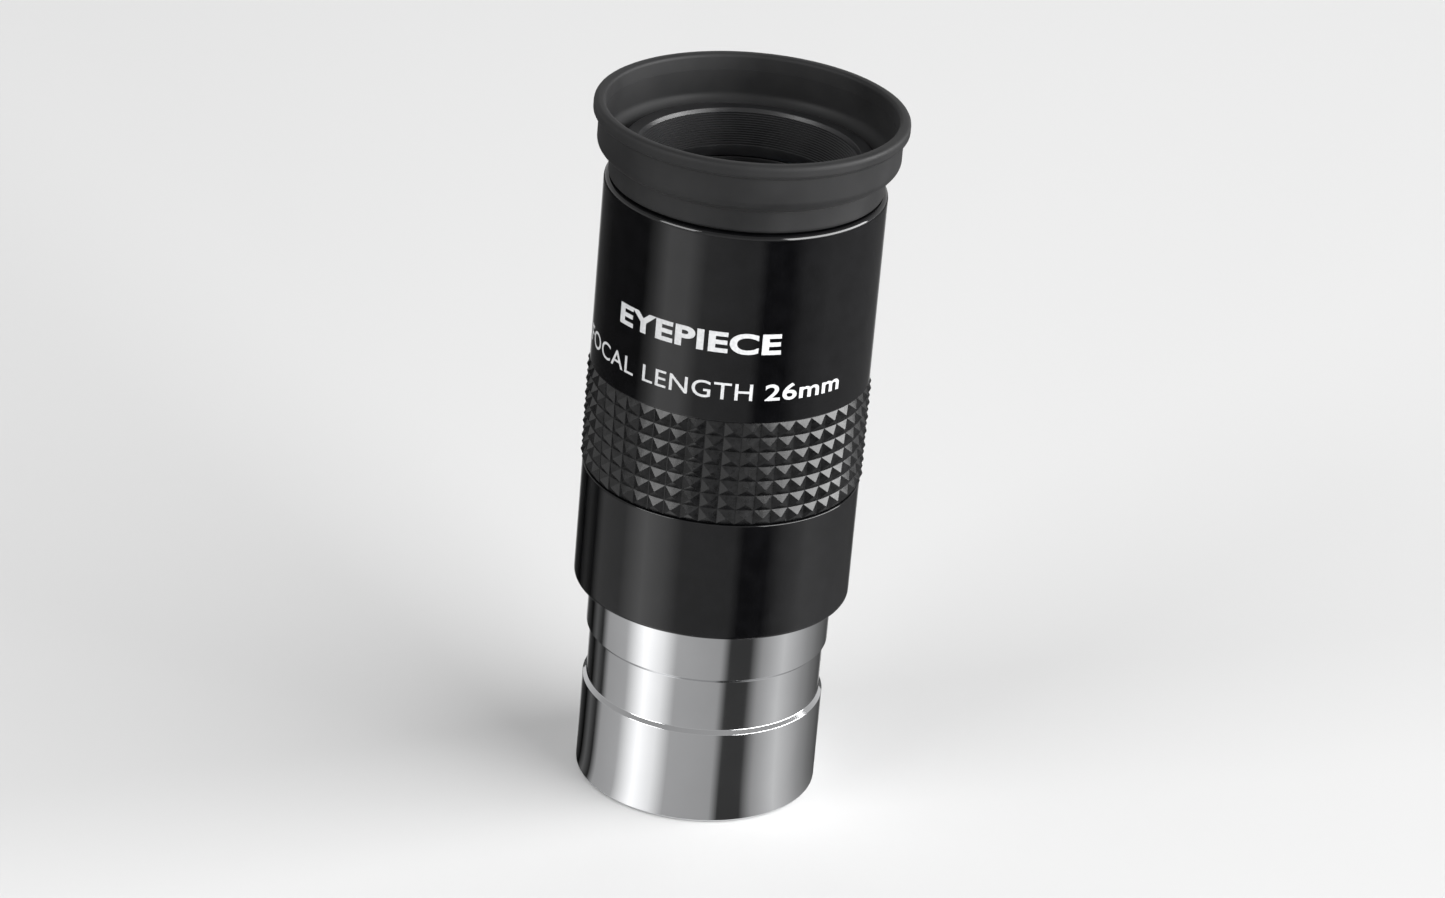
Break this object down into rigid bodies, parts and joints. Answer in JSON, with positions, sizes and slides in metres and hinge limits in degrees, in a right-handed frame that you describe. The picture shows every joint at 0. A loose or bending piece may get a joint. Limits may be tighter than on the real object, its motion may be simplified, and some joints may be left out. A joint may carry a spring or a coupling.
{
  "type": "telescope eyepiece",
  "caption": "Black telescope eyepiece with a plated nose barrel for 1.25 inch focusers, ribbed rubber grip, lenses and fold-down rubber eyecup.",
  "frame": {"origin": "on the optical axis in the plane of the nose barrel's open end, which is the lowest point of the part", "axes": "+Z along the optical axis from the nose barrel to the eye; the part is round about Z, and +X and +Y are across it"},
  "size_m": [0.04, 0.04, 0.094],
  "materials": {
    "nose_chrome": "polished chrome plate on brass",
    "body_black": "deep gloss black, mirror-like",
    "grip_rubber": "moulded rubber with a slight sheen on the points",
    "cup_rubber": "soft matt rubber",
    "eye_ring_black": "satin black anodised aluminium",
    "inner_black": "matt black anodised against glare",
    "lens_glass": "polished optical glass with a green and violet anti-reflection coating",
    "marking_white": "white screen-printed ink"
  },
  "bodies": {
    "housing": {"main_body": "body_black", "grip_ring": "grip_rubber", "lens_cell": "inner_black", "field_lens_flint": "lens_glass", "field_lens_crown": "lens_glass", "lens_spacer": "inner_black", "eye_lens_crown": "lens_glass", "eye_lens_flint": "lens_glass", "lens_retaining_ring": "inner_black", "eye_end_ring": "eye_ring_black", "eyecup_collar": "cup_rubber", "eyecup_skirt": "cup_rubber"},
    "eyecup_rim": {"eyecup_rim": "cup_rubber"},
    "field_stop": {"field_stop_tube": "inner_black", "field_stop_ring": "inner_black"},
    "nose": {"nose_barrel": "nose_chrome"}
  },
  "joints": [
    {"name": "eyecup_fold", "type": "slide", "parent": "housing", "child": "eyecup_rim", "axis": [0, 0, -1], "range_m": [0, 0.012], "deforming": ["eyecup_skirt"]},
    {"name": "nose_travel", "type": "slide", "parent": "housing", "child": "field_stop", "axis": [0, 0, -1], "range_m": [0, 0.0053]},
    {"name": "nose_turn", "type": "hinge", "parent": "field_stop", "child": "nose", "pos_m": [0, 0, 0.028], "axis": [0, 0, -1], "range_deg": [0, 2520]}
  ],
  "couplings": [
    {"joint": "nose_travel", "follows": "nose_turn", "m_per_rad": 0.00011937}
  ]
}
